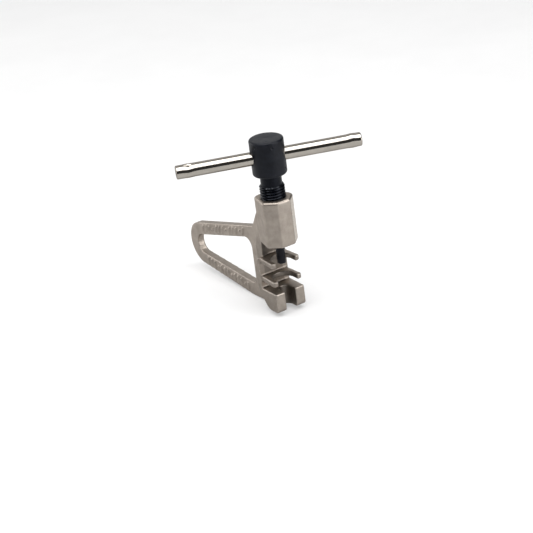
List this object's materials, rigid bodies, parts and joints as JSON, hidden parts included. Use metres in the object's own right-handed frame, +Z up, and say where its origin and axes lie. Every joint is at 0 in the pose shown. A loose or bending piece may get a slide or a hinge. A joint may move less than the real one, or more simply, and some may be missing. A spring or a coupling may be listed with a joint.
{
  "type": "bicycle chain tool",
  "caption": "Compact bicycle chain tool: cast frame with finger loop, chain cradles and anvil, feed screw with sliding tee bar and a loose drive pin.",
  "frame": {"origin": "centre of the drive pin's tip, on the feed screw's axis", "axes": "+Z up the feed screw's axis towards its head, +X out of the open side of the chain slots and away from the finger loop, +Y along the chain"},
  "size_m": [0.0801, 0.0646, 0.0686],
  "materials": {
    "nickel_plate": "satin nickel plate over a fine cast grain",
    "black_oxide": "satin black oxide on turned steel",
    "polished_nickel": "polished nickel plate",
    "hardened_steel": "black hardened and ground steel",
    "spring_steel": "bright drawn spring wire"
  },
  "bodies": {
    "frame": {"frame_casting": "nickel_plate"},
    "pin": {"drive_pin": "hardened_steel"},
    "screw": {"drive_screw": "black_oxide", "pin_retaining_ring": "spring_steel"},
    "handle": {"tee_bar": "polished_nickel"}
  },
  "joints": [
    {"name": "pin_feed", "type": "slide", "parent": "frame", "child": "pin", "axis": [0, 0, 1], "range_m": [-0.00868, 0.009]},
    {"name": "screw_turn", "type": "hinge", "parent": "pin", "child": "screw", "pos_m": [0, 0, 0], "axis": [0, 0, 1], "range_deg": [-2953, 3062]},
    {"name": "tee_bar_slide", "type": "slide", "parent": "screw", "child": "handle", "axis": [0.3859, 0.9225, 0], "range_m": [-0.0229, 0.0211]}
  ],
  "couplings": [
    {"joint": "screw_turn", "follows": "pin_feed", "rad_per_m": 5936.9}
  ]
}
